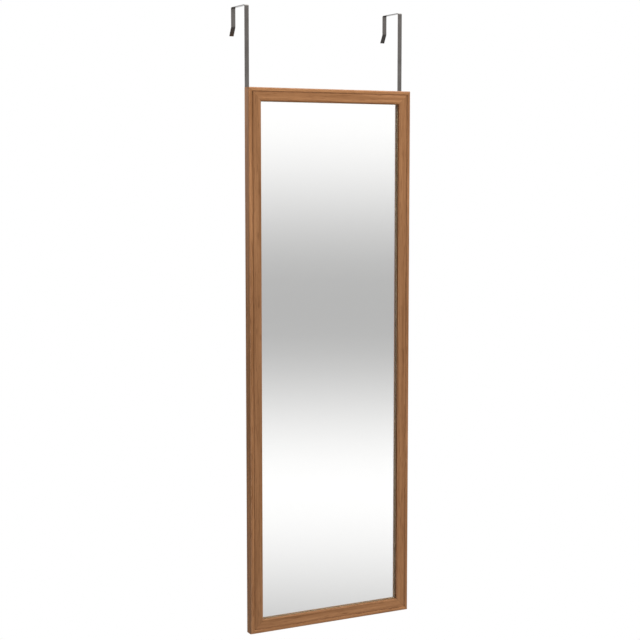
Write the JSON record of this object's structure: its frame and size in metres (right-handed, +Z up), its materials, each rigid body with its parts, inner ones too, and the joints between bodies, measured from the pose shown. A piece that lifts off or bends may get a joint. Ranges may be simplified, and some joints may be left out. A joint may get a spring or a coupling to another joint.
{
  "type": "over-the-door mirror",
  "caption": "Tall rectangular mirror in a slim wood-effect frame that hangs over a door on two bent steel strap hooks.",
  "frame": {"origin": "on the top edge of the door's front face, on the centre line of the mirror's frame", "axes": "+X to the right seen from the front, +Y back through the door, +Z up; the mirror faces -Y"},
  "size_m": [0.303, 0.0763, 1.0315],
  "materials": {
    "moulding": "wood-grain foil on a fibreboard moulding, satin",
    "zinc": "zinc-plated steel, dull",
    "glass": "clear float glass, polished",
    "silver": "silvered, painted on the back",
    "card": "brown corrugated card",
    "hardboard": "brown hardboard, mesh side out",
    "hook_steel": "dark nickel on flat steel strap, satin",
    "felt": "dense felt"
  },
  "bodies": {
    "root": {"top_rail": "moulding", "bottom_rail": "moulding", "left_stile": "moulding", "right_stile": "moulding", "corner_nails": "zinc", "mirror_glass": "glass", "silver_coat": "silver", "packing_sheet": "card", "back_panel": "hardboard", "flex_points": "zinc", "left_hook": "hook_steel", "right_hook": "hook_steel", "left_hook_screws": "zinc", "right_hook_screws": "zinc", "left_bumper": "felt", "right_bumper": "felt"}
  },
  "joints": []
}
